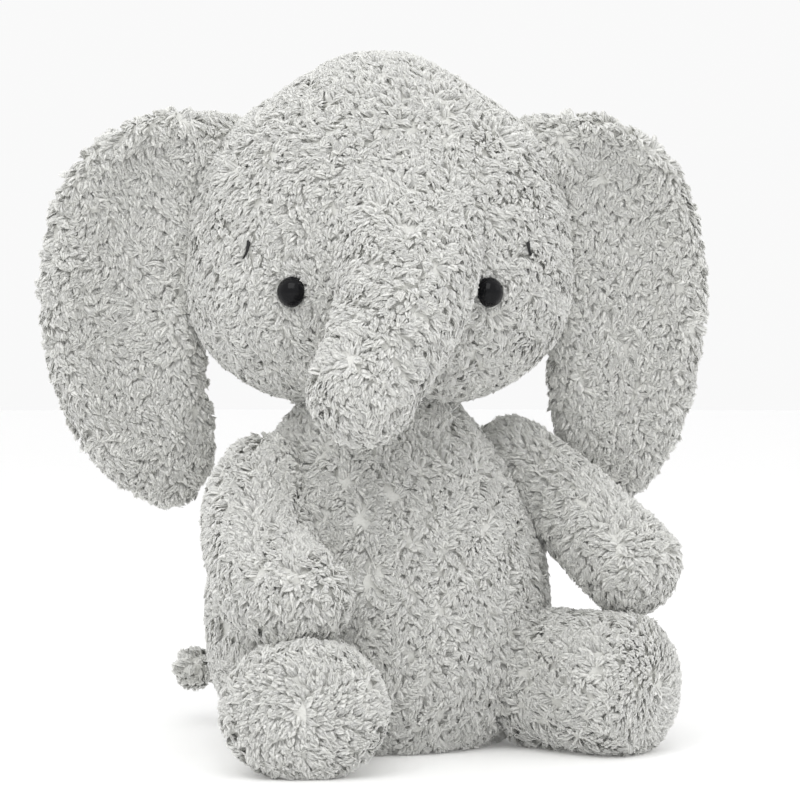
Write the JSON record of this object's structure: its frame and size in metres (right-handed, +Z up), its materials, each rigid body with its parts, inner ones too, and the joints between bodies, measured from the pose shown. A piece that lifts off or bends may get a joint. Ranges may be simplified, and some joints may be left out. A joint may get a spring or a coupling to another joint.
{
  "type": "stuffed elephant",
  "caption": "Sitting plush elephant with large hanging ears, forward trunk, safety eyes, jointed soft limbs and a flat seat to rest on.",
  "frame": {"origin": "middle of the flat seat, on the surface that the elephant sits on", "axes": "+Z up, the body faces -Y, and +X is the elephant's own left"},
  "size_m": [0.2698, 0.2174, 0.2879],
  "materials": {
    "plush": "matte",
    "filling": "matte",
    "bean_bag_cloth": "matte",
    "eye": "gloss",
    "washer": "satin",
    "brow_thread": "matte",
    "neck_thread": "matte"
  },
  "bodies": {
    "torso": {"back_panel": "plush", "bean_bag": "bean_bag_cloth", "belly_left": "plush", "belly_right": "plush", "body_stuffing": "filling", "neck_thread": "neck_thread", "seat_panel": "plush"},
    "head": {"chin_panel": "plush", "forehead_gusset": "plush", "head_stuffing": "filling", "left_brow_stitch": "brow_thread", "left_cheek": "plush", "left_eye": "eye", "left_eye_washer": "washer", "right_brow_stitch": "brow_thread", "right_cheek": "plush", "right_eye": "eye", "right_eye_washer": "washer"},
    "left_arm": {"left_arm_stuffing": "filling", "left_arm_top": "plush", "left_arm_under": "plush"},
    "left_ear": {"left_ear_back": "plush", "left_ear_front": "plush", "left_ear_padding": "filling"},
    "left_leg": {"left_leg_stuffing": "filling", "left_leg_under": "plush", "left_leg_upper": "plush", "left_sole": "plush"},
    "right_arm": {"right_arm_stuffing": "filling", "right_arm_top": "plush", "right_arm_under": "plush"},
    "right_ear": {"right_ear_back": "plush", "right_ear_front": "plush", "right_ear_padding": "filling"},
    "right_leg": {"right_leg_stuffing": "filling", "right_leg_under": "plush", "right_leg_upper": "plush", "right_sole": "plush"},
    "tail": {"tail_cord": "filling", "tail_cover": "plush"},
    "trunk": {"trunk_stuffing": "filling", "trunk_top": "plush", "trunk_underside": "plush"}
  },
  "joints": [
    {"name": "head_turn", "type": "hinge", "parent": "torso", "child": "head", "pos_m": [0, 0, 0.1425], "axis": [0, 0, 1], "range_deg": [-3, 28]},
    {"name": "trunk_lift", "type": "hinge", "parent": "head", "child": "trunk", "pos_m": [-0.02585, -0.06398, 0.2385], "axis": [-0.9272, 0.3746, 0], "range_deg": [0, 35]},
    {"name": "left_ear_lift", "type": "hinge", "parent": "head", "child": "left_ear", "pos_m": [0.06747, -0.03589, 0.2535], "axis": [-0.3746, -0.9272, 0], "range_deg": [0, 65]},
    {"name": "right_ear_lift", "type": "hinge", "parent": "head", "child": "right_ear", "pos_m": [-0.07346, 0.02105, 0.2535], "axis": [0.3746, 0.9272, 0], "range_deg": [0, 65]},
    {"name": "left_arm_raise", "type": "hinge", "parent": "torso", "child": "left_arm", "pos_m": [0.05448, 0, 0.117], "axis": [-0.88, 0, -0.475], "range_deg": [0, 30]},
    {"name": "left_leg_splay", "type": "hinge", "parent": "torso", "child": "left_leg", "pos_m": [0.042, -0.02, 0.0275], "axis": [0, 0, 1], "range_deg": [-12, 12]},
    {"name": "right_arm_raise", "type": "hinge", "parent": "torso", "child": "right_arm", "pos_m": [-0.05448, 0, 0.117], "axis": [-0.88, 0, 0.475], "range_deg": [0, 25]},
    {"name": "right_leg_splay", "type": "hinge", "parent": "torso", "child": "right_leg", "pos_m": [-0.042, -0.02, 0.0275], "axis": [0, 0, -1], "range_deg": [-12, 12]},
    {"name": "tail_swing", "type": "hinge", "parent": "torso", "child": "tail", "pos_m": [0, 0.0735, 0.027], "axis": [0, 0, -1], "range_deg": [-3, 35]}
  ]
}
